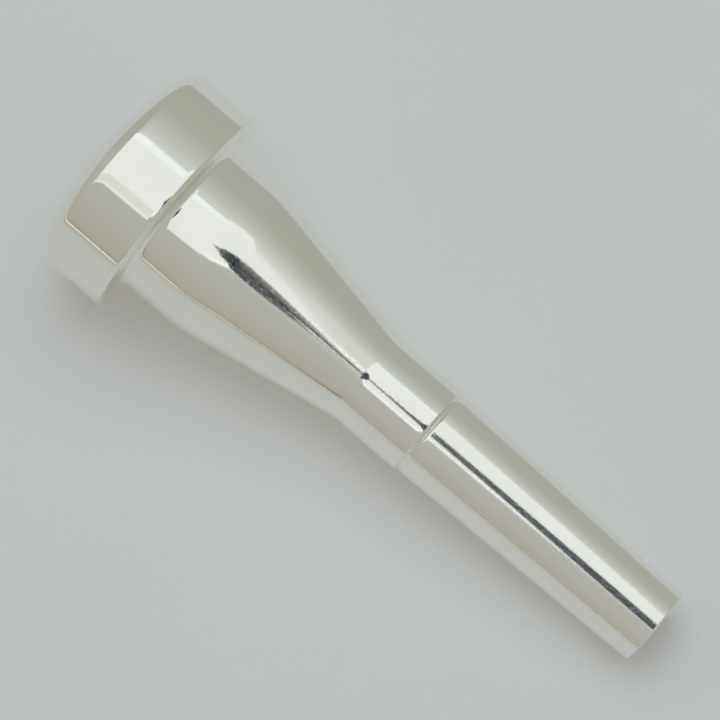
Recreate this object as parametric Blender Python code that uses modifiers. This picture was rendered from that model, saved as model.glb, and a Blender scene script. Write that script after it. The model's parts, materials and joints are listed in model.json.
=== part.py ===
"""Three-piece trumpet mouthpiece, lying on its side as it rests on a table.

Blender 4.5, metres, +Z up. Run with: blender --background --python part.py

The mouthpiece is turned work: a rim with a heavy straight band, a cup body
with the bowl, throat and neck, and a shank with the backbore. The rim screws
onto the cup's front spigot, and the shank screws into the socket in the neck.

Stations along the turning axis are called a, in millimetres, from the rim's
crest (a = 0) to the end of the shank (a = LENGTH). Radii are r, also in
millimetres. The axis runs towards world +X and falls towards the shank,
because the mouthpiece rests on the rear edge of the band and on the end of
the shank. The origin is under the middle of the bounding box, on the table.
"""

import math

import bmesh
import bpy
from mathutils import Matrix

MM = 0.001

# ---------------------------------------------------------------- dimensions
LENGTH = 81.8            # crest of the rim to the end of the shank
SEGMENTS = 48            # facets round a turned piece (a flat one faces down)
GAP = 0.3                # clearance between faces that touch

# rim and band
BAND_R = 13.8            # straight outside of the band
CREST_R = 9.9            # highest circle of the rim
RIM_DROP = 2.4           # height of the rim's outer rounding
BITE_R = 8.35            # inner edge of the rim (cup diameter 16.7)
BITE_DROP = 1.3          # height of the rim's inner rounding
BAND_REAR = 10.3         # rear face of the band
BAND_EDGE_R = 0.5        # rounding of the band's rear edge
RIM_FLOOR = 3.5          # inner shoulder of the rim, in front of the spigot
RIM_FLOOR_R = 8.2        # bowl radius at that shoulder

# thread between rim and cup
RIM_THREAD_R = 10.45     # crest of the thread on the cup's front spigot
RIM_THREAD_ROOT = 10.0   # the spigot under the thread
RIM_THREAD_PITCH = 0.9
RIM_THREAD_TURNS = 4
RIM_THREAD_START = 4.45  # middle of the first ridge
FLANGE_FRONT = 9.3       # the cup's seating shoulder

# cup body
FILLET_R = 1.0           # concave fillet between band and cup
CUP_R = 9.98             # straight part behind the fillet
CONE_SLOPE = 0.2         # dr/da of the cone (half angle 11.3 degrees)
CONE_REF_A = 36.9        # the cone passes this station ...
CONE_REF_R = 6.24        # ... at this radius
SHOULDER_BLEND = 2.3     # tangent length of the blend into the cone
NECK_BLEND = 0.8         # tangent length of the blend into the neck
NECK_R = 5.87            # straight neck
NECK_END = 47.9          # rear face of the cup
EDGE = 0.15              # small broken edges

# bowl, throat and backbore
BOWL_MOUTH_R = 8.15      # bowl radius at the front of the cup
BOWL_BOTTOM = 14.6       # where the bowl has run out into the throat
BOWL_POWER = 1.75        # roundness of the bowl
THROAT_R = 1.83          # throat, drill size about 3.66 mm
THROAT_END = 19.5
BACKBORE_JOIN_R = 2.45   # backbore radius where cup and shank meet inside
BACKBORE_EXIT_R = 4.3    # backbore radius at the end of the shank

# socket in the neck and the shank's spigot
SOCKET_FLOOR = 39.9
SOCKET_THREAD_R = 4.25   # crest of the thread on the shank's spigot
SOCKET_THREAD_ROOT = 3.83
SOCKET_THREAD_PITCH = 0.8
SOCKET_THREAD_TURNS = 7
SOCKET_THREAD_START = 41.1

# shank
GROOVE_R = 5.4           # floor of the turned groove
GROOVE_END = 48.55       # the groove ends here and the taper starts
SHANK_R = 5.67           # taper, large end
SHANK_END_R = 4.875      # taper, small end (standard trumpet shank, 9.75 mm)
SHANK_EDGE = 0.15

SILVER = (0.86, 0.86, 0.84, 1.0)


# ------------------------------------------------------------------ profiles
def arc(centre_a, centre_r, radius_a, radius_r, start, stop, count):
    """Points on an ellipse arc: angle 0 points to +r, 90 degrees to +a."""
    points = []
    for i in range(count + 1):
        t = math.radians(start + (stop - start) * i / count)
        points.append((centre_a + radius_a * math.sin(t),
                       centre_r + radius_r * math.cos(t)))
    return points


def rim_profile():
    """Closed section of the rim, down its outside and back up its bore."""
    points = arc(RIM_DROP, CREST_R, RIM_DROP, BAND_R - CREST_R, -90, 0, 7)
    points += arc(BAND_REAR - BAND_EDGE_R, BAND_R - BAND_EDGE_R,
                  BAND_EDGE_R, BAND_EDGE_R, 0, 90, 3)
    bore = RIM_THREAD_R + GAP
    counterbore = CUP_R + FILLET_R + GAP
    points += [(BAND_REAR, counterbore),
               (FLANGE_FRONT - GAP, counterbore),
               (FLANGE_FRONT - GAP, bore),
               (RIM_FLOOR, bore),
               (RIM_FLOOR, RIM_FLOOR_R)]
    bite = arc(BITE_DROP, CREST_R, BITE_DROP, CREST_R - BITE_R, 180, 270, 5)
    return points + bite[:-1]


def cone_radius(a):
    return CONE_REF_R + CONE_SLOPE * (CONE_REF_A - a)


def cone_station(r):
    return CONE_REF_A + (CONE_REF_R - r) / CONE_SLOPE


def blend(corner_a, slope_in, slope_out, corner_r, tangent, count):
    """Parabola tangent to two straight runs that meet at a corner."""
    points = []
    for i in range(count + 1):
        t = i / count
        before = (corner_a - tangent, corner_r - slope_in * tangent)
        after = (corner_a + tangent, corner_r + slope_out * tangent)
        points.append((
            (1 - t) ** 2 * before[0] + 2 * t * (1 - t) * corner_a + t * t * after[0],
            (1 - t) ** 2 * before[1] + 2 * t * (1 - t) * corner_r + t * t * after[1]))
    return points


def bowl_radius(a):
    """Bowl of the cup, from its mouth down into the throat."""
    x = (a - RIM_FLOOR - GAP) / (BOWL_BOTTOM - RIM_FLOOR - GAP)
    x = min(max(x, 0.0), 1.0)
    return THROAT_R + (BOWL_MOUTH_R - THROAT_R) * (1 - x ** BOWL_POWER) ** 1.35


def backbore_radius(a):
    """Backbore: cylinder at the throat, then opening to the shank's end."""
    if a <= THROAT_END:
        return THROAT_R
    if a <= SOCKET_FLOOR:
        x = (a - THROAT_END) / (SOCKET_FLOOR - THROAT_END)
        return THROAT_R + (BACKBORE_JOIN_R - THROAT_R) * x ** 1.3
    x = (a - SOCKET_FLOOR) / (LENGTH - SOCKET_FLOOR)
    return BACKBORE_JOIN_R + (BACKBORE_EXIT_R - BACKBORE_JOIN_R) * x ** 0.9


def stations(start, stop, count):
    return [start + (stop - start) * i / count for i in range(count + 1)]


def cup_profile():
    """Closed section of the cup, down its outside and back up its bore."""
    front = RIM_FLOOR + GAP
    flange = CUP_R + FILLET_R
    points = [(front, RIM_THREAD_ROOT - 0.25), (front + 0.25, RIM_THREAD_ROOT),
              (FLANGE_FRONT, RIM_THREAD_ROOT),
              (FLANGE_FRONT, flange)]
    points += arc(BAND_REAR + FILLET_R, flange, FILLET_R, FILLET_R, 270, 180, 5)
    points += blend(cone_station(CUP_R), 0.0, -CONE_SLOPE, CUP_R, SHOULDER_BLEND, 4)
    points += blend(cone_station(NECK_R), -CONE_SLOPE, 0.0, NECK_R, NECK_BLEND, 2)
    socket = SOCKET_THREAD_R + GAP
    points += [(NECK_END - EDGE, NECK_R), (NECK_END, NECK_R - EDGE),
               (NECK_END, socket + 0.3), (NECK_END - 0.3, socket),
               (SOCKET_FLOOR, socket),
               (SOCKET_FLOOR, backbore_radius(SOCKET_FLOOR))]
    points += [(a, backbore_radius(a)) for a in stations(33.0, THROAT_END, 2)]
    points += [(a, bowl_radius(a)) for a in stations(BOWL_BOTTOM, front, 9)]
    return points


def shank_profile():
    """Closed section of the shank, down its outside and back up its bore."""
    front = SOCKET_FLOOR + GAP
    seat = NECK_END + GAP
    points = [(front, SOCKET_THREAD_ROOT - 0.2), (front + 0.2, SOCKET_THREAD_ROOT),
              (seat, SOCKET_THREAD_ROOT),
              (seat, GROOVE_R), (GROOVE_END, GROOVE_R),
              (GROOVE_END, SHANK_R - SHANK_EDGE),
              (GROOVE_END + SHANK_EDGE, SHANK_R),
              (LENGTH - SHANK_EDGE, SHANK_END_R),
              (LENGTH, SHANK_END_R - SHANK_EDGE),
              (LENGTH, BACKBORE_EXIT_R)]
    points += [(a, backbore_radius(a)) for a in stations(76.0, front, 5)]
    return points


# ------------------------------------------------------- how it lies at rest
def resting_tilt(profile):
    """Fall of the axis when the turned outline lies on a plane.

    The plane touches the two corners of the outline's outer hull that lie
    either side of the longest free span.
    """
    outline = sorted((a, r) for a, r in profile)
    hull = []
    for p in outline:
        while len(hull) > 1:
            (a1, r1), (a2, r2) = hull[-2], hull[-1]
            if (a2 - a1) * (p[1] - r1) - (r2 - r1) * (p[0] - a1) >= 0:
                hull.pop()
            else:
                break
        hull.append(p)
    left, right = max(zip(hull, hull[1:]), key=lambda s: s[1][0] - s[0][0])
    return math.atan2(left[1] - right[1], right[0] - left[0])


def resting_place(profile, tilt):
    """World place of station 0, with the box centred over the origin."""
    c, s = math.cos(tilt), math.sin(tilt)
    low = min(a * c - r * s for a, r in profile)
    high = max(a * c + r * s for a, r in profile)
    drop = min(-a * s - r * c for a, r in profile)
    return (-(low + high) / 2 * MM, 0.0, -drop * MM)


# ----------------------------------------------------------------- modelling
def silver(name):
    material = bpy.data.materials.new(name)
    material.use_nodes = True
    shader = material.node_tree.nodes["Principled BSDF"]
    shader.inputs["Base Color"].default_value = SILVER
    shader.inputs["Metallic"].default_value = 1.0
    shader.inputs["Roughness"].default_value = 0.08
    material.diffuse_color = SILVER
    return material


def turned(name, profile, origin, axis, collection):
    """Turned piece: a closed section and a Screw modifier about local Z.

    Local +Z points to the rim. The flats of the facets lie on the true
    radius, so the section is widened by 1 / cos(half a facet).
    """
    widen = 1 / math.cos(math.pi / SEGMENTS)
    mesh = bpy.data.meshes.new(name)
    bm = bmesh.new()
    points = []
    for a, r in profile:
        here = (r * widen * MM, 0.0, (origin - a) * MM)
        if not points or distance(points[-1], here) > 1e-6:
            points.append(here)
    verts = [bm.verts.new(p) for p in points]
    for first, second in zip(verts, verts[1:] + verts[:1]):
        bm.edges.new((first, second))
    bm.to_mesh(mesh)
    bm.free()

    piece = bpy.data.objects.new(name, mesh)
    collection.objects.link(piece)
    piece.parent = axis
    piece.location = (0.0, 0.0, -origin * MM)
    piece.rotation_euler = (0.0, 0.0, math.pi / SEGMENTS)

    screw = piece.modifiers.new("turn", "SCREW")
    screw.axis = "Z"
    screw.angle = 2 * math.pi
    screw.steps = SEGMENTS
    screw.render_steps = SEGMENTS
    screw.use_merge_vertices = True
    screw.merge_threshold = 0.00001
    screw.use_smooth_shade = True
    screw.use_normal_calculate = False
    mesh.materials.append(silver(name + "_silver"))
    return piece


def thread(piece, origin, root, crest, pitch, turns, start, cutters):
    """Right-hand thread: a ridge wound on a spigot and joined to it.

    The ridge is a closed trapezium with a Screw modifier that climbs towards
    the rim, with its two ends capped. Its foot is sunk below the root, in
    the spigot. The bores it goes into are plain, GAP clear of its crest.
    """
    widen = 1 / math.cos(math.pi / SEGMENTS)
    sink = 0.3
    flank = (crest - root) * math.tan(math.radians(30))
    top = pitch / 8
    base = top + flank * (crest - root + sink) / (crest - root)
    last = start + turns * pitch
    section = [(last - base, root - sink), (last - top, crest),
               (last + top, crest), (last + base, root - sink)]
    mesh = bpy.data.meshes.new(piece.name + "_thread_section")
    bm = bmesh.new()
    verts = [bm.verts.new((r * widen * MM, 0.0, (origin - a) * MM))
             for a, r in section]
    for first, second in zip(verts, verts[1:] + verts[:1]):
        bm.edges.new((first, second))
    bm.to_mesh(mesh)
    bm.free()
    coil = bpy.data.objects.new(piece.name + "_thread_coil", mesh)
    cutters.objects.link(coil)
    screw = coil.modifiers.new("wind", "SCREW")
    screw.axis = "Z"
    screw.angle = 2 * math.pi
    screw.screw_offset = pitch * MM
    screw.iterations = turns
    screw.steps = SEGMENTS
    screw.render_steps = SEGMENTS
    screw.use_merge_vertices = False
    screw.use_normal_calculate = False

    bpy.context.view_layer.update()
    depsgraph = bpy.context.evaluated_depsgraph_get()
    wound = bpy.data.meshes.new_from_object(coil.evaluated_get(depsgraph))
    bm = bmesh.new()
    bm.from_mesh(wound)
    bmesh.ops.remove_doubles(bm, verts=bm.verts, dist=1e-6)
    rim_edges = [e for e in bm.edges if e.is_boundary]
    bmesh.ops.holes_fill(bm, edges=rim_edges, sides=0)
    bmesh.ops.recalc_face_normals(bm, faces=bm.faces)
    bm.to_mesh(wound)
    bm.free()
    bpy.data.objects.remove(coil, do_unlink=True)

    ridge = bpy.data.objects.new(piece.name + "_thread", wound)
    cutters.objects.link(ridge)
    ridge.parent = piece
    ridge.hide_render = True
    ridge.display_type = "WIRE"

    join = piece.modifiers.new("thread", "BOOLEAN")
    join.operation = "UNION"
    join.solver = "EXACT"
    join.object = ridge


def distance(p, q):
    return math.sqrt(sum((x - y) ** 2 for x, y in zip(p, q)))


def main():
    for thing in list(bpy.data.objects):
        bpy.data.objects.remove(thing, do_unlink=True)

    parts = bpy.data.collections.new("trumpet_mouthpiece")
    bpy.context.scene.collection.children.link(parts)
    cutters = bpy.data.collections.new("trumpet_mouthpiece_cutters")
    bpy.context.scene.collection.children.link(cutters)

    outside = rim_profile() + cup_profile() + shank_profile()
    tilt = resting_tilt(outside)
    place = resting_place(outside, tilt)

    # local +Z of this empty points along the turning axis, towards the rim
    axis = bpy.data.objects.new("turning_axis", None)
    axis.empty_display_size = 0.01
    parts.objects.link(axis)
    axis.matrix_world = (Matrix.Translation(place)
                         @ Matrix.Rotation(tilt - math.pi / 2, 4, "Y"))

    turned("rim", rim_profile(), FLANGE_FRONT, axis, parts)
    cup = turned("cup", cup_profile(), BAND_REAR, axis, parts)
    thread(cup, BAND_REAR, RIM_THREAD_ROOT, RIM_THREAD_R, RIM_THREAD_PITCH,
           RIM_THREAD_TURNS, RIM_THREAD_START, cutters)
    shank = turned("shank", shank_profile(), NECK_END, axis, parts)
    thread(shank, NECK_END, SOCKET_THREAD_ROOT, SOCKET_THREAD_R,
           SOCKET_THREAD_PITCH, SOCKET_THREAD_TURNS, SOCKET_THREAD_START,
           cutters)
    bpy.context.view_layer.update()
    print("tilt %.4f degrees" % math.degrees(tilt))
    print("station 0 at %.6f %.6f %.6f" % place)


main()
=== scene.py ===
import json
import math

import bpy
import numpy as np
from mathutils import Matrix, Vector


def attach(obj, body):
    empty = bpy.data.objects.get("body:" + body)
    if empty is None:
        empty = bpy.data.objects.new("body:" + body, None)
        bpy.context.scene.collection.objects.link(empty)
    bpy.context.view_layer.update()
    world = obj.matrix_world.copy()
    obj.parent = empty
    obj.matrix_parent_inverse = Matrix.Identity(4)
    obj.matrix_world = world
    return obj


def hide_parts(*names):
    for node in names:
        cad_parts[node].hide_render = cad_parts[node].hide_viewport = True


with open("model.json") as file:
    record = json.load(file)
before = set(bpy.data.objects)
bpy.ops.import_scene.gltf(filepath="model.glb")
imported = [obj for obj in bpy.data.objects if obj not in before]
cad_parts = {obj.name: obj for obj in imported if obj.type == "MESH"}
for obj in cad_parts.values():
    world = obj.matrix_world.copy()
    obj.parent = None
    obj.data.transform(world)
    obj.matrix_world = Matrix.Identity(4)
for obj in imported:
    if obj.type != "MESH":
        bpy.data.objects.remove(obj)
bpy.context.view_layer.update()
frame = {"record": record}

# Looks of the silver-plated trumpet mouthpiece, lying on its side on pale grey
# paper. Every piece is turned: a closed section, spun about the long axis.
# Stations a run along that axis from the rim's crest (0) to the end of the
# shank, radii r are measured from it, both in millimetres.

MM = 0.001
SPIN = 288                  # facets round every piece
KEEP = 0.9999               # stays a hair inside the CAD box
LENGTH = 81.8


# ------------------------------------------------------------ the axis frame
def mount(name):
    return next(m for m in frame["record"]["mounts"] if m["name"] == name)


taper = mount("receiver_taper")
ALONG = Vector(taper["axis"]).normalized()
START = Vector(taper["pos_m"]) - ALONG * LENGTH * MM
SIDE = Vector((0.0, 1.0, 0.0))
RISE = ALONG.cross(SIDE).normalized()
AXIS = Matrix.Translation(START) @ Matrix((ALONG, SIDE, RISE)).transposed().to_4x4()


# ------------------------------------------------------------------ sections
# A section is a list of rings, each (a, r, finish) with r a number or an array
# over the spin angle. The finish is that of the strip from this ring on.
ANGLE = np.arange(SPIN) * 2 * math.pi / SPIN
POLISH, TURNED, BORE, FINE = 0, 1, 2, 3


def rounded(corners):
    """Polyline whose corners are filleted: corners are (a, r, radius, finish)."""
    out = []
    n = len(corners)
    for i, (a, r, radius, finish) in enumerate(corners):
        here = np.array((a, r), float)
        if radius <= 0 or i in (0, n - 1):
            out.append((a, r, finish))
            continue
        back = np.array(corners[i - 1][:2], float) - here
        ahead = np.array(corners[i + 1][:2], float) - here
        lb, la = np.linalg.norm(back), np.linalg.norm(ahead)
        back, ahead = back / lb, ahead / la
        turn = math.pi - math.acos(max(-1.0, min(1.0, float(back @ ahead))))
        if turn < 1e-4:
            out.append((a, r, finish))
            continue
        reach = min(radius * math.tan(turn / 2), 0.45 * lb, 0.45 * la)
        radius = reach / math.tan(turn / 2)
        first, last = here + back * reach, here + ahead * reach
        middle = back + ahead
        centre = here + middle / np.linalg.norm(middle) * math.hypot(reach, radius)
        steps = max(3, int(math.degrees(turn) / 11))
        u, v = first - centre, last - centre
        total = math.acos(max(-1.0, min(1.0, float(u @ v) / radius ** 2)))
        before_finish = corners[i - 1][3]
        for k in range(steps + 1):
            t = k / steps
            w = (math.sin((1 - t) * total) * u + math.sin(t * total) * v) / math.sin(total)
            p = centre + w
            out.append((p[0], p[1], before_finish if t < 0.5 else finish))
    return out


def supported(rings, near=0.025, far=1.2):
    """Adds rings close to both ends of long strips, so that a mirror finish
    stays true up to the edge, and splits very long strips."""
    out = []
    for i, ring in enumerate(rings):
        out.append(ring)
        if i + 1 == len(rings):
            break
        nxt = rings[i + 1]
        span = math.hypot(nxt[0] - ring[0], float(np.max(nxt[1])) - float(np.max(ring[1])))
        if span > 0.35 and np.isscalar(ring[1]) and np.isscalar(nxt[1]):
            cuts = [near / span]
            pieces = int(span / far)
            cuts += [near / span + (1 - 2 * near / span) * k / (pieces + 1)
                     for k in range(1, pieces + 1)]
            cuts.append(1 - near / span)
            for t in cuts:
                out.append((ring[0] + (nxt[0] - ring[0]) * t,
                            ring[1] + (nxt[1] - ring[1]) * t, ring[2]))
    return out


def ellipse(ca, cr, ra, rr, start, stop, count, finish):
    return [(ca + ra * math.sin(math.radians(start + (stop - start) * k / count)),
             cr + rr * math.cos(math.radians(start + (stop - start) * k / count)), finish)
            for k in range(count + 1)]


def smooth(x):
    x = np.clip(x, 0.0, 1.0)
    return x * x * (3 - 2 * x)


def wound(first, last, root, crest, pitch, start, finish, fade=0.5, step=18):
    """Rings of a right-hand thread between two stations, in either order.

    crest is beyond root on a spigot, and beyond it outwards in a bore too,
    where it is the bottom of the groove.
    """
    count = int(abs(last - first) / pitch * step)
    rings = []
    lo, hi = min(first, last), max(first, last)
    for k in range(count + 1):
        a = first + (last - first) * k / count
        phase = np.mod((a - start) / pitch - ANGLE / (2 * math.pi) + 0.5, 1.0) - 0.5
        flank = 0.5 - 0.11 - 0.11
        height = smooth((0.5 - 0.11 - np.abs(phase)) / flank * 1.02)
        height = np.clip((0.5 - 0.09 - np.abs(phase)) / flank, 0, 1) * 0.7 + height * 0.3
        ends = smooth(np.array(min((a - lo), (hi - a)) / (fade * pitch)))
        rings.append((a, root + (crest - root) * height * ends, finish))
    return rings


# --------------------------------------------------------------- dimensions
BAND_R, CREST_R, RIM_DROP = 13.8, 9.9, 2.4
BITE_R, BITE_DROP = 8.35, 1.3
BAND_REAR = 10.3
FLANGE_R, FILLET, CUP_R = 10.98, 1.0, 9.98
CONE_SLOPE, CONE_A, CONE_R = 0.2, 36.9, 6.24
NECK_R, NECK_END = 5.87, 47.9
NOTCH_R, GROOVE_R, GROOVE_END = 5.715, 5.535, 48.55
SHANK_R, SHANK_END_R = 5.67, 4.875
SEAM = 0.012                # open seams between the screwed-up pieces
RIM_FLOOR = 3.765


def cone_station(r):
    return CONE_A + (CONE_R - r) / CONE_SLOPE


def blend(corner_a, slope_in, slope_out, corner_r, tangent, count, finish):
    out = []
    for i in range(count + 1):
        t = i / count
        p = (corner_a - tangent, corner_r - slope_in * tangent)
        q = (corner_a + tangent, corner_r + slope_out * tangent)
        out.append(((1 - t) ** 2 * p[0] + 2 * t * (1 - t) * corner_a + t * t * q[0],
                    (1 - t) ** 2 * p[1] + 2 * t * (1 - t) * corner_r + t * t * q[1], finish))
    return out


def bowl_radius(a):
    x = min(max((a - 3.8) / (14.6 - 3.8), 0.0), 1.0)
    return 1.83 + (8.15 - 1.83) * (1 - x ** 1.75) ** 1.35


def backbore_radius(a):
    if a <= 19.5:
        return 1.83
    if a <= 39.9:
        return 1.83 + (2.45 - 1.83) * ((a - 19.5) / (39.9 - 19.5)) ** 1.3
    return 2.45 + (4.3 - 2.45) * ((a - 39.9) / (LENGTH - 39.9)) ** 0.9


CROWN_END = 3.1             # the rim's rounding runs out into the band here


def crown(a):
    """Eases the rim's rounding into the straight band."""
    return 0.022 * max(0.0, (CROWN_END - a) / (CROWN_END - RIM_DROP)) ** 2


def eased(first, last, r, drop, count, finish=POLISH):
    """A straight strip that starts to fall away before an edge."""
    return [(a, r - drop * ((a - first) / (last - first)) ** 2, 0, finish)
            for a in np.linspace(first, last, count)]


def rim_section():
    rings = [(a, r - crown(a), f) for a, r, f in
             ellipse(RIM_DROP, CREST_R, RIM_DROP, BAND_R - CREST_R, -90, 0, 56, POLISH)]
    rings += [(a, BAND_R - crown(a), POLISH)
              for a in np.linspace(RIM_DROP, CROWN_END, 12)[1:-1]]
    slope, begin, end = 0.105, 9.50, 9.83      # eases into the rounded rear edge
    tilt = math.degrees(math.atan(slope))
    turn_in = (BAND_REAR - end) / (1 - math.sin(math.radians(tilt)))
    drop = slope * (end - begin) / 2
    edge_r = BAND_R - drop - turn_in * math.cos(math.radians(tilt))
    rings += supported([(CROWN_END, BAND_R, POLISH), (begin, BAND_R, POLISH)])[:-1]
    rings += [ring[:2] + ring[3:] for ring in eased(begin, end, BAND_R, drop, 10)][:-1]
    rings += ellipse(BAND_REAR - turn_in, edge_r, turn_in, turn_in, tilt, 90, 16, POLISH)[:-1]
    rings += supported(rounded([
        (BAND_REAR, edge_r, 0, FINE),
        (BAND_REAR, FLANGE_R + SEAM, 0.03, FINE),
        (9.3 - SEAM, FLANGE_R + SEAM, 0.03, FINE),
        (9.3 - SEAM, 10.58, 0.08, TURNED),
        (8.75, 10.58, 0, TURNED)]))
    rings += wound(8.7, 4.55, 10.58, 10.98, 0.9, 4.45, TURNED)
    rings += supported(rounded([
        (4.5, 10.58, 0, TURNED),
        (4.35, 10.8, 0.04, TURNED),
        (RIM_FLOOR, 10.8, 0.08, TURNED),
        (RIM_FLOOR, 8.165, 0.03, POLISH),
        (BITE_DROP + 0.9, 8.3, 0, POLISH)]))
    bite = ellipse(BITE_DROP, CREST_R, BITE_DROP, CREST_R - BITE_R, 180, 270, 28, POLISH)
    wall = []
    a0, r0 = BITE_DROP + 0.9, 8.3
    for k in range(1, 8):                  # eases from the wall into the bite
        t = k / 8
        wall.append((a0 + (BITE_DROP - a0) * t,
                     r0 + (BITE_R - r0) * (1 - (1 - t) ** 2), POLISH))
    return rings + wall + bite[:-1]


def cup_section():
    front = 3.8
    rings = supported(rounded([
        (front, 8.9, 0, TURNED),
        (front, 9.75, 0.1, TURNED),
        (front + 0.3, 10.0, 0.1, TURNED),
        (front + 0.5, 10.0, 0, TURNED)]))
    rings += wound(front + 0.52, 8.35, 10.0, 10.45, 0.9, 4.45, TURNED, fade=0.6)
    rings += supported(rounded([
        (8.37, 10.0, 0, TURNED),
        (8.55, 9.82, 0.08, TURNED),
        (9.3, 9.82, 0.12, TURNED),
        (9.3, FLANGE_R, 0.06, FINE),
        (BAND_REAR - 0.02, FLANGE_R, 0.03, FINE),
        (BAND_REAR + 0.02, FLANGE_R - 0.03, 0, FINE)]))[:-1]
    rings += ellipse(BAND_REAR + FILLET, FLANGE_R, FILLET, FILLET, 268, 180, 30, FINE)
    shoulder = blend(cone_station(CUP_R), 0.0, -CONE_SLOPE, CUP_R, 2.3, 30, POLISH)
    neck = blend(cone_station(NECK_R), -CONE_SLOPE, 0.0, NECK_R, 0.52, 18, POLISH)
    rings += supported([rings.pop(), shoulder[0]])[:-1] + shoulder[:-1]
    rings += supported([shoulder[-1], neck[0]])[:-1] + neck[:-1]
    bore = 4.38
    rings += supported([neck[-1]] + rounded([
        (NECK_END - 2.0, NECK_R, 0, POLISH)]
        + eased(NECK_END - 0.78, NECK_END - 0.30, NECK_R, 0.016, 8) + [
        (NECK_END - 0.16, NECK_R - 0.025, 0.40, FINE),
        (NECK_END, NOTCH_R, 0.015, TURNED),
        (NECK_END, bore + 0.25, 0.05, TURNED),
        (NECK_END - 0.3, bore, 0.05, TURNED),
        (46.95, bore, 0, TURNED)]))
    rings += wound(46.9, 40.7, bore, bore + 0.36, 0.8, 41.1, TURNED)
    rings += supported(rounded([
        (40.65, bore, 0, TURNED),
        (39.9, bore, 0.1, TURNED),
        (39.9, backbore_radius(39.9), 0.05, BORE),
        (39.3, backbore_radius(39.3), 0, BORE)]))
    rings += [(a, backbore_radius(a), BORE) for a in np.arange(38.5, 19.6, -0.9)]
    rings += [(a, 1.83, BORE) for a in (19.5, 18.5, 17.0, 15.6)]
    count = 70
    for k in range(count + 1):
        t = (k / count)
        a = 14.6 - (14.6 - front) * (1 - (1 - t) ** 1.6) if t < 1 else front
        rings.append((a, bowl_radius(a), POLISH))
    rings[-1] = (front + 0.02, bowl_radius(front + 0.02), POLISH)
    rings.append((front, 8.17, TURNED))
    return rings


def shank_section():
    front = 40.2
    seat = NECK_END + SEAM
    rings = supported(rounded([
        (front, 3.3, 0, TURNED),
        (front, 3.62, 0.06, TURNED),
        (front + 0.25, 3.83, 0.06, TURNED),
        (front + 0.5, 3.83, 0, TURNED)]))
    rings += wound(front + 0.52, 46.9, 3.83, 4.25, 0.8, 41.1, TURNED, fade=0.6)
    rings += supported(rounded([
        (46.92, 3.83, 0, TURNED),
        (47.1, 3.68, 0.06, TURNED),
        (seat, 3.68, 0.08, TURNED),
        (seat, NOTCH_R - 0.01, 0.01, FINE),
        (seat + 0.22, GROOVE_R, 0.15, FINE),
        (GROOVE_END - 0.04, SHANK_R + 0.001, 0.7, POLISH),
        (LENGTH, SHANK_END_R - 0.006, 0.24, FINE),
        (LENGTH, backbore_radius(LENGTH) + 0.03, 0.05, BORE),
        (LENGTH - 1.0, backbore_radius(LENGTH - 1.0), 0, BORE)]))
    rings += [(a, backbore_radius(a), BORE) for a in np.arange(79.8, 41.0, -1.0)]
    rings += [(front + 0.15, backbore_radius(front + 0.15), BORE),
              (front, backbore_radius(front) + 0.06, TURNED)]
    return rings


def spun(name, rings, materials):
    """Closed mesh from rings, lying in place."""
    clean = []
    for a, r, finish in rings:
        r = np.broadcast_to(np.asarray(r, float), (SPIN,))
        if clean and abs(clean[-1][0] - a) < 1e-5 and np.abs(clean[-1][1] - r).max() < 1e-5:
            continue
        clean.append((a, r, finish))
    n = len(clean)
    a = np.array([c[0] for c in clean])
    r = np.stack([c[1] for c in clean]) * KEEP
    verts = np.empty((n, SPIN, 3))
    verts[:, :, 0] = a[:, None]
    verts[:, :, 1] = r * np.cos(ANGLE)
    verts[:, :, 2] = r * np.sin(ANGLE)
    place = np.array(AXIS)
    verts = verts.reshape(-1, 3) * MM @ place[:3, :3].T + place[:3, 3]
    i = np.arange(n)[:, None]
    j = np.arange(SPIN)[None, :]
    i2, j2 = (i + 1) % n, (j + 1) % SPIN
    faces = np.stack([i * SPIN + j, i * SPIN + j2, i2 * SPIN + j2, i2 * SPIN + j], -1)
    mesh = bpy.data.meshes.new(name)
    mesh.from_pydata(verts.tolist(), [], faces.reshape(-1, 4).tolist())
    for material in materials:
        mesh.materials.append(material)
    kind = np.repeat(np.array([c[2] for c in clean]), SPIN)
    mesh.polygons.foreach_set("material_index", kind)
    mesh.polygons.foreach_set("use_smooth", np.ones(len(kind), bool))
    mesh.update()
    mesh.validate()
    piece = bpy.data.objects.new(name, mesh)
    bpy.context.scene.collection.objects.link(piece)
    return piece


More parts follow.
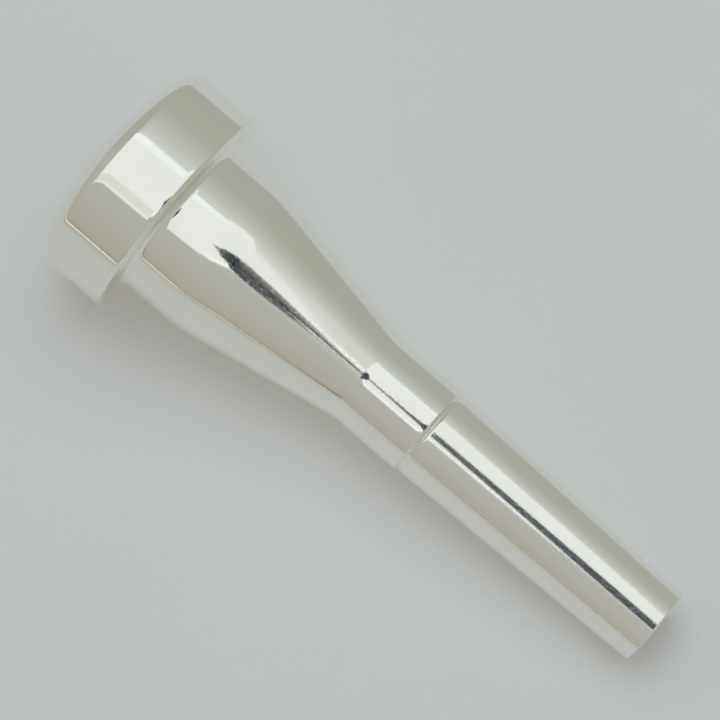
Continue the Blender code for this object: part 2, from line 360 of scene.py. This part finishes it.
# ----------------------------------------------------------------- materials
class Nodes:
    """Short hand for building node trees."""

    def __init__(self, tree):
        self.tree = tree

    def make(self, kind, **values):
        node = self.tree.nodes.new(kind)
        for key, value in values.items():
            setattr(node, key, value)
        return node

    def feed(self, socket, value):
        if isinstance(value, bpy.types.NodeSocket):
            self.tree.links.new(value, socket)
        elif value is not None:
            socket.default_value = value

    def math(self, operation, *values, clamp=False):
        node = self.make("ShaderNodeMath", operation=operation, use_clamp=clamp)
        for socket, value in zip(node.inputs, values):
            self.feed(socket, value)
        return node.outputs[0]

    def add(self, a, b):
        return self.math("ADD", a, b)

    def sub(self, a, b):
        return self.math("SUBTRACT", a, b)

    def mul(self, a, b, clamp=False):
        return self.math("MULTIPLY", a, b, clamp=clamp)

    def step(self, x, low, high, out_low=0.0, out_high=1.0, kind="SMOOTHSTEP"):
        node = self.make("ShaderNodeMapRange", interpolation_type=kind, clamp=True)
        for socket, value in zip(node.inputs, (x, low, high, out_low, out_high)):
            self.feed(socket, value)
        return node.outputs[0]

    def window(self, x, low, high, soft_low, soft_high):
        return self.mul(self.step(x, low - soft_low, low + soft_low),
                        self.step(x, high - soft_high, high + soft_high, 1.0, 0.0))

    def curve(self, x, points):
        """Smooth curve through (x, y) points, flat beyond its ends."""
        node = self.make("ShaderNodeFloatCurve")
        low, high = points[0][0], points[-1][0]
        least = min(y for _, y in points)
        most = max(y for _, y in points)
        self.feed(node.inputs["Value"], self.step(x, low, high, kind="LINEAR"))
        line = node.mapping.curves[0]
        places = [((px - low) / (high - low), (py - least) / (most - least))
                  for px, py in points]
        while len(line.points) < len(places):
            line.points.new(0.5, 0.5)
        for point, place in zip(line.points, places):
            point.location = place
            point.handle_type = "AUTO_CLAMPED"
        node.mapping.update()
        return self.add(self.mul(node.outputs[0], most - least), least)

    def mix(self, factor, a, b):
        node = self.make("ShaderNodeMix", data_type="RGBA", clamp_factor=True)
        self.feed(node.inputs["Factor"], factor)
        self.feed(node.inputs["A"] if False else node.inputs[6], a)
        self.feed(node.inputs[7], b)
        return node.outputs[2]

    def xyz(self, vector):
        node = self.make("ShaderNodeSeparateXYZ")
        self.feed(node.inputs[0], vector)
        return node.outputs

    def vector(self, x, y, z):
        node = self.make("ShaderNodeCombineXYZ")
        for socket, value in zip(node.inputs, (x, y, z)):
            self.feed(socket, value)
        return node.outputs[0]

    def axis_frame(self):
        """The surface point with X along the turning axis, from the rim's crest."""
        node = self.make("ShaderNodeMapping", vector_type="TEXTURE")
        self.feed(node.inputs["Vector"], self.make("ShaderNodeTexCoord").outputs["Object"])
        node.inputs["Location"].default_value = AXIS.to_translation()
        node.inputs["Rotation"].default_value = AXIS.to_euler()
        return node.outputs[0]

    def dot(self, a, b):
        node = self.make("ShaderNodeVectorMath", operation="DOT_PRODUCT")
        self.feed(node.inputs[0], a)
        self.feed(node.inputs[1], b)
        return node.outputs["Value"]

    def noise(self, vector, scale, detail=2.0, rough=0.5, kind="FBM"):
        node = self.make("ShaderNodeTexNoise", noise_dimensions="3D")
        node.noise_type = kind
        self.feed(node.inputs["Vector"], vector)
        node.inputs["Scale"].default_value = scale
        node.inputs["Detail"].default_value = detail
        node.inputs["Roughness"].default_value = rough
        return node.outputs["Fac"]

    def bump(self, height, distance, strength=1.0, normal=None):
        node = self.make("ShaderNodeBump")
        node.inputs["Strength"].default_value = strength
        node.inputs["Distance"].default_value = distance
        self.feed(node.inputs["Height"], height)
        if normal is not None:
            self.feed(node.inputs["Normal"], normal)
        return node.outputs["Normal"]


def fresh(name):
    material = bpy.data.materials.new(name)
    material.use_nodes = True
    nodes = material.node_tree.nodes
    shader = next(n for n in nodes if n.type == "BSDF_PRINCIPLED")
    return material, Nodes(material.node_tree), shader


def silver(name, base, rough, lines, line_height, wave_height, grain_height,
           rub=None, tarnish=(0.86, 0.82, 0.72, 1.0)):
    """Silver plate: mirror base, turning lines round the axis, slight waviness,
    a fine grain of handling marks and a breath of tarnish. rub is how the
    plate has been rubbed dull in specks: (along, round, low, high, amount).
    """
    material, n, shader = fresh(name)
    where = n.axis_frame()
    x, y, z = n.xyz(where)
    # fine lines left by turning and buffing: noise squeezed along the axis
    turned = n.noise(n.vector(n.mul(x, lines), n.mul(y, 60.0), n.mul(z, 60.0)), 1.0, 5.0, 0.62)
    wave = n.noise(where, 210.0, 1.0, 0.4)
    grain = n.noise(where, 9500.0, 2.0, 0.6)
    scuff = n.noise(n.vector(n.mul(x, 700.0), n.mul(y, 5200.0), n.mul(z, 5200.0)), 1.0, 3.0, 0.6)
    patch = n.noise(where, 95.0, 3.0, 0.55)
    height = n.bump(wave, wave_height)
    height = n.bump(turned, line_height, normal=height)
    height = n.bump(grain, grain_height, normal=height)
    n.feed(shader.inputs["Normal"], height)
    dull = n.add(n.step(patch, 0.35, 0.75, 0.0, 0.022), n.step(scuff, 0.62, 0.78, 0.0, 0.05))
    dull = n.add(dull, n.step(turned, 0.35, 0.75, 0.0, 0.018))
    if rub:
        along, about, low, high, amount = rub
        specks = n.noise(n.vector(n.mul(x, along), n.mul(y, about), n.mul(z, about)),
                         1.0, 2.0, 0.55)
        dull = n.add(dull, n.step(specks, low, high, 0.0, amount))
    n.feed(shader.inputs["Roughness"], n.add(dull, rough))
    worn = n.mix(n.step(patch, 0.42, 0.8, 0.0, 0.20), base, tarnish)
    n.feed(shader.inputs["Base Color"], worn)
    shader.inputs["Metallic"].default_value = 1.0
    shader.inputs["IOR"].default_value = 1.5
    return material


SILVER = (0.952, 0.934, 0.882, 1.0)
MATTE = (0.90, 0.885, 0.83, 1.0)


def burnished(name):
    """The same plate in fillets, grooves and edges, where no mark can reach."""
    material, n, shader = fresh(name)
    where = n.axis_frame()
    patch = n.noise(where, 95.0, 3.0, 0.55)
    n.feed(shader.inputs["Roughness"], n.step(patch, 0.35, 0.75, 0.05, 0.075))
    n.feed(shader.inputs["Base Color"], n.mix(n.step(patch, 0.42, 0.8, 0.0, 0.20), SILVER,
                                              (0.86, 0.82, 0.72, 1.0)))
    shader.inputs["Metallic"].default_value = 1.0
    shader.inputs["IOR"].default_value = 1.5
    return material


def finishes(part):
    return [
        silver(part + "_silver_polished", SILVER, 0.045, 21000.0, 2.2e-7, 3.0e-6,
               {"rim": 1.2e-7, "cup": 3.0e-7, "shank": 9.0e-7}[part],
               {"rim": (3000.0, 4200.0, 0.56, 0.70, 0.06),
                "cup": (2200.0, 8600.0, 0.47, 0.66, 0.12),
                "shank": (6400.0, 9200.0, 0.43, 0.62, 0.18)}[part]),
        silver(part + "_silver_turned", MATTE, 0.16, 26000.0, 9.0e-6, 2.0e-6, 4.0e-7),
        silver(part + "_silver_reamed", MATTE, 0.22, 12000.0, 6.0e-6, 4.0e-6, 4.0e-7),
        burnished(part + "_silver_edges"),
    ]


pieces = []
for name, section in (("rim", rim_section), ("cup", cup_section), ("shank", shank_section)):
    piece = spun(name + "_visual", section(), finishes(name))
    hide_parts(name)
    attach(piece, name)
    pieces.append(piece)


# --------------------------------------------------------------------- floor
# the sheet that mirrors in the silver ends at this slanting line
EDGE_Y, EDGE_SLOPE = 0.0500, -0.53


def paper_material():
    material, n, shader = fresh("paper")
    where = n.make("ShaderNodeTexCoord").outputs["Object"]
    tooth = n.noise(where, 2600.0, 4.0, 0.65)
    cloud = n.noise(where, 14.0, 2.0, 0.5)
    tone = n.mix(n.step(cloud, 0.3, 0.7), (0.790, 0.822, 0.826, 1.0), (0.806, 0.838, 0.842, 1.0))
    tone = n.mix(n.step(tooth, 0.3, 0.7, 0.0, 0.10), tone, (0.70, 0.73, 0.735, 1.0))
    n.feed(shader.inputs["Base Color"], tone)
    n.feed(shader.inputs["Normal"], n.bump(tooth, 2.0e-5, 0.5))
    shader.inputs["Roughness"].default_value = 0.95
    shader.inputs["Specular IOR Level"].default_value = 0.15
    return material


PAPER = paper_material()


def sheet(name, corners):
    mesh = bpy.data.meshes.new(name)
    mesh.from_pydata([(x, y, 0.0) for x, y in corners], [], [(0, 1, 2, 3)])
    mesh.materials.append(PAPER)
    floor = bpy.data.objects.new(name, mesh)
    bpy.context.scene.collection.objects.link(floor)
    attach(floor, "shank")        # so the unscrewed shank stays on the paper
    return floor


FAR = 6.0
LEFT, RIGHT = EDGE_Y - EDGE_SLOPE * FAR, EDGE_Y + EDGE_SLOPE * FAR
near = sheet("floor_near", [(-FAR, -FAR), (FAR, -FAR), (FAR, RIGHT), (-FAR, LEFT)])
beyond = sheet("floor_beyond", [(-FAR, LEFT), (FAR, RIGHT), (FAR, FAR), (-FAR, FAR)])
beyond.visible_glossy = False


# -------------------------------------------------------------------- camera
AZ, EL = math.radians(40.439), math.radians(74.818)
forward = Vector((-math.sin(AZ) * math.cos(EL), math.cos(AZ) * math.cos(EL), -math.sin(EL)))
right = Vector((math.cos(AZ), math.sin(AZ), 0.0))
up = right.cross(forward)
target = Vector((-4.181, 1.545, 8.0)) * MM
lens = bpy.data.cameras.new("camera")
lens.sensor_width = 36.0
lens.lens = 174.965
lens.clip_start = 0.01
lens.clip_end = 50.0
camera = bpy.data.objects.new("camera", lens)
bpy.context.scene.collection.objects.link(camera)
turn = Matrix((right, up, -forward)).transposed().to_4x4()
camera.matrix_world = Matrix.Translation(target - forward * 0.40093) @ turn
bpy.context.scene.camera = camera


# ------------------------------------------------------------- studio light
ROUND = (0.11, 0.11, 0.11, 1.0)     # what lights the paper from low down
ABOVE = (0.26, 0.26, 0.26, 1.0)     # and from overhead


GAP = (14.5, 40.0)                  # lean where the bright line along the table breaks off


def studio():
    """What the silver mirrors, laid out round the turning axis.

    lean is the angle of a direction towards the shank's end, and turn is its
    angle round the axis, 0 above the silver's top and growing towards -Y.
    """
    world = bpy.data.worlds.new("studio")
    bpy.context.scene.world = world
    world.use_nodes = True
    tree = world.node_tree
    tree.nodes.clear()
    n = Nodes(tree)
    way = n.make("ShaderNodeTexCoord").outputs["Generated"]
    lean = n.mul(n.math("ARCSINE", n.dot(way, tuple(ALONG))), 180 / math.pi)
    side = n.dot(way, tuple(-SIDE))
    rise = n.dot(way, tuple(RISE))
    turn = n.sub(n.mul(n.math("ARCTAN2", side, rise), 180 / math.pi), 11.5)
    height = n.mul(n.math("ARCSINE", n.dot(way, (0.0, 0.0, 1.0))), 180 / math.pi)

    olive = (0.396, 0.416, 0.372, 1.0)
    warm = (0.448, 0.452, 0.430, 1.0)
    warm_low = (0.420, 0.405, 0.366, 1.0)
    white = (0.822, 0.868, 0.862, 1.0)
    brown = (0.345, 0.325, 0.275, 1.0)
    gold = n.mix(n.step(lean, -5.0, -3.0), (1.06, 0.98, 0.80, 1.0), (0.80, 0.715, 0.52, 1.0))
    dark = (0.09, 0.085, 0.065, 1.0)
    below = (0.40, 0.41, 0.375, 1.0)

    # walls: olive on the far side, warm grey on the near side, lower is dimmer
    room = n.mix(n.step(turn, -50.0, 10.0), olive, warm)
    room = n.mix(n.step(turn, 30.0, 76.0), room, warm_low)
    # the slope of light that runs up to the softbox on its far side
    slope = n.curve(turn, [(-96, 0), (-84, 0.005), (-72, 0.045), (-64, 0.12), (-56, 0.21),
                           (-48, 0.34), (-40, 0.50), (-30, 0.60), (-10, 0.55), (4, 0.3), (16, 0.0)])
    slope = n.mul(slope, n.window(lean, -16.0, 32.0, 12.0, 15.0))
    room = n.mix(slope, room, white)
    # bright line along the table's edge, and the table below the horizon
    near_side = n.step(turn, 20.0, 50.0)
    room = n.mix(n.mul(n.window(height, 1.6, 4.4, 0.4, 0.8), near_side), room, brown)
    room = n.mix(n.mul(n.window(height, 0.1, 1.25, 0.25, 0.3), near_side), room, gold)
    broken = n.mul(n.window(lean, GAP[0], GAP[1], 0.5, 1.0), near_side)
    room = n.mix(n.mul(n.window(height, -0.2, 1.9, 0.3, 0.4), broken), room, dark)
    room = n.mix(n.step(height, -1.0, 0.0, 1.0, 0.0), room, below)

    path = n.make("ShaderNodeLightPath")
    soft = n.math("MINIMUM", path.outputs["Diffuse Depth"], 1.0)
    fill = n.mix(n.step(height, 15.0, 65.0), ROUND, ABOVE)
    room = n.mix(soft, room, fill)
    colour = n.mix(path.outputs["Is Camera Ray"], room, (0.50, 0.52, 0.515, 1.0))
    back = n.make("ShaderNodeBackground")
    n.feed(back.inputs["Color"], colour)
    back.inputs["Strength"].default_value = 1.0
    out = n.make("ShaderNodeOutputWorld")
    tree.links.new(back.outputs[0], out.inputs["Surface"])


studio()


# Cards that only show in the silver, hung over it at the camera's distance:
# glowing sheets that paint the reflections of a softbox and of the camera.
# On them x runs along the turning axis from under the camera, y across it.
OVER = math.radians(11.5)
OUT = RISE * math.cos(OVER) - SIDE * math.sin(OVER)
ACROSS = -RISE * math.sin(OVER) - SIDE * math.cos(OVER)
UNDER = 56.5


def card(name, corners, distance, paint):
    mesh = bpy.data.meshes.new(name)
    mesh.from_pydata([(x * MM, y * MM, 0.0) for x, y in corners], [], [range(len(corners))])
    material = bpy.data.materials.new(name)
    material.use_nodes = True
    tree = material.node_tree
    tree.nodes.clear()
    n = Nodes(tree)
    x, y, _ = n.xyz(n.make("ShaderNodeTexCoord").outputs["Object"])
    colour, cover = paint(n, n.mul(x, 1000.0), n.mul(y, 1000.0))
    glow = n.make("ShaderNodeEmission")
    n.feed(glow.inputs["Color"], colour)
    clear = n.make("ShaderNodeBsdfTransparent")
    both = n.make("ShaderNodeMixShader")
    n.feed(both.inputs[0], cover)
    tree.links.new(clear.outputs[0], both.inputs[1])
    tree.links.new(glow.outputs[0], both.inputs[2])
    out = n.make("ShaderNodeOutputMaterial")
    tree.links.new(both.outputs[0], out.inputs["Surface"])
    mesh.materials.append(material)
    thing = bpy.data.objects.new(name, mesh)
    thing.matrix_world = (Matrix.Translation(START + ALONG * UNDER * MM + OUT * distance * MM)
                          @ Matrix((ALONG, ACROSS, ALONG.cross(ACROSS))).transposed().to_4x4())
    bpy.context.scene.collection.objects.link(thing)
    thing.visible_camera = thing.visible_diffuse = thing.visible_shadow = False
    thing.visible_transmission = thing.visible_volume_scatter = False
    return thing


def softbox(n, x, y):
    """Painted reflection of the overhead panel: a slanting rectangle with a beige and a bright
    strip.
    """
    white = (0.822, 0.868, 0.862, 1.0)
    far = n.curve(x, [(-262, -270), (-110, -294), (-95, -305), (-88, -320), (-45, -353),
                      (0, -365), (45, -371), (90, -352), (130, -330)])
    near = n.curve(x, [(-262, 250), (-115, 178), (-92, 163), (-79, 141), (-43, 129), (-25, 126),
                       (-7, 111), (6, 104), (28, 90), (46, 78), (66, 71), (88, 58), (101, 36),
                       (108, 25), (114, 13), (126, -6)])
    right = n.curve(y, [(-360, 74), (-302, 90), (-262, 106), (-222, 110), (-186, 113.5),
                        (-147, 116), (-101, 118), (-60, 119), (60, 119)])
    front = n.step(x, -93.5, -92.0, 1.0, 0.0)
    from_far, from_near = n.sub(y, far), n.sub(near, y)
    colour = n.mix(n.mul(n.window(from_near, 22.0, 84.0, 6.0, 8.0), front), white,
                   (0.735, 0.728, 0.66, 1.0))
    # painted glow near the near edge of the panel's reflection
    glow = n.mul(n.window(from_near, 8.0, 34.0, 6.0, 10.0), n.window(x, -70.0, 62.0, 20.0, 12.0))
    shine = n.mix(n.step(x, -45.0, 5.0), (0.96, 0.97, 0.93, 1.0), (1.01, 1.05, 1.08, 1.0))
    colour = n.mix(n.mul(glow, 0.9), colour, shine)
    # painted bright strip near the far edge of the panel's reflection
    bar = n.add(n.mul(front, 0.75), 0.25)
    colour = n.mix(n.mul(n.window(from_far, 6.0, 78.0, 7.0, 12.0), bar), colour,
                   (0.90, 0.955, 0.975, 1.0))
    cover = n.mul(n.step(from_far, -14.0, 14.0), n.step(from_near, -7.0, 7.0))
    cover = n.mul(cover, n.window(x, -262.0, 400.0, 30.0, 10.0))
    cover = n.mul(cover, n.step(n.sub(x, right), -8.0, 8.0, 1.0, 0.0))
    # painted highlight: a narrow bright strip beside the camera, past the panel's right edge
    strip = n.mul(n.window(y, -92.0, -34.0, 24.0, 6.0), n.window(x, 104.0, 131.0, 4.0, 3.0))
    bright = n.mix(n.step(x, 110.0, 122.0), (0.94, 0.96, 0.93, 1.0), (1.03, 1.06, 1.06, 1.0))
    colour = n.mix(strip, colour, bright)
    return colour, n.math("MAXIMUM", cover, strip)


# half width of the painted reflection of camera and stand, a dark shape, along x
SHAPE = [(-50, 4), (-44, 9), (-34, 11), (-27, 15), (-21, 22), (-12, 34), (-2, 38), (10, 41),
         (22, 45), (32, 48), (42, 58), (52, 63), (66, 60), (80, 67), (88, 71), (92, 69),
         (97, 62), (101, 54), (103.5, 45), (105.5, 35), (108, 28), (112, 20), (115, 15),
         (119, 12), (126, 10), (140, 6)]


def camera_shape(n, x, y):
    half = n.curve(x, SHAPE)
    middle = n.curve(x, [(-47, -5), (0, -8), (26, -12), (46, -3), (66, -1), (88, -3), (97, -7),
                         (101, -9), (104, -19), (106, -24), (110, -18), (114, -9),
                         (126, -6), (150, -4)])
    off = n.sub(y, middle)
    edge = n.sub(n.math("ABSOLUTE", off), half)
    cover = n.step(edge, -6.0, 6.0, 1.0, 0.0)
    colour = n.mix(n.step(x, -20.0, 62.0), (0.060, 0.067, 0.072, 1.0),
                   (0.026, 0.037, 0.050, 1.0))
    # painted lighter reflection over the stretch from x -44 to -12
    colour = n.mix(n.step(x, -44.0, -12.0, 0.7, 0.0), colour, (0.30, 0.31, 0.295, 1.0))
    # painted lighter shading towards the far edge, more so at the foot of the stand
    share = n.math("DIVIDE", n.mul(off, -1.0), half)
    share = n.add(share, n.curve(x, [(99, 0.0), (103, 0.4), (106, 0.55), (112, 0.25), (118, 0.0)]))
    share = n.step(share, 0.05, 1.0, kind="LINEAR")
    share = n.mul(share, n.curve(x, [(60, 0.0), (70, 0.35), (88, 0.55), (97, 0.8), (104, 1.0),
                                     (130, 0.9)]))
    colour = n.mix(share, colour, (0.36, 0.35, 0.335, 1.0))
    # painted light streaks across the dark reflection
    streak = n.noise(n.vector(n.mul(x, 0.10), n.mul(y, 0.16), 0.0), 1.0, 4.0, 0.7)
    streak = n.mul(n.step(streak, 0.45, 0.68, 0.0, 0.55), n.step(x, 60.0, 84.0))
    colour = n.mix(streak, colour, (0.27, 0.265, 0.255, 1.0))
    # painted highlight: thin bright edge on the near side of the stand
    line = n.mul(n.window(y, 9.0, 21.0, 2.5, 3.5),
                 n.curve(x, [(101, 0.0), (103, 0.4), (105, 1.0), (108, 0.9), (110, 0.65),
                             (112, 0.35), (114.5, 0.0)]))
    colour = n.mix(line, colour, (1.55, 1.58, 1.56, 1.0))
    return colour, n.math("MAXIMUM", cover, line)


card("softbox", [(-300, -700), (180, -700), (180, 420), (-300, 420)], 405, softbox)
card("camera_shape", [(-60, -90), (160, -90), (160, 90), (-60, 90)], 390, camera_shape)


def area(name, direction, distance, size, energy, colour):
    light = bpy.data.lights.new(name, "AREA")
    light.shape = "DISK"
    light.size = size
    light.energy = energy
    light.color = colour
    lamp = bpy.data.objects.new(name, light)
    direction = Vector(direction).normalized()
    lamp.location = direction * distance
    lamp.rotation_mode = "QUATERNION"
    lamp.rotation_quaternion = direction.to_track_quat("Z", "Y")
    lamp.visible_glossy = False
    lamp.visible_camera = False
    bpy.context.scene.collection.objects.link(lamp)
    return lamp


area("key", (-0.12, 0.20, 1.0), 1.1, 1.10, 4.0, (0.8265, 0.945, 1.0))

# light that the silver and the room throw back into the shadow
bounce = bpy.data.lights.new("bounce", "SUN")
bounce.energy = 0.685
bounce.color = (1.0, 0.90, 0.775)
bounce.use_shadow = False
lamp = bpy.data.objects.new("bounce", bounce)
lamp.visible_glossy = lamp.visible_camera = False
bpy.context.scene.collection.objects.link(lamp)

bpy.context.scene.view_settings.view_transform = "Standard"
bpy.context.scene.view_settings.look = "None"
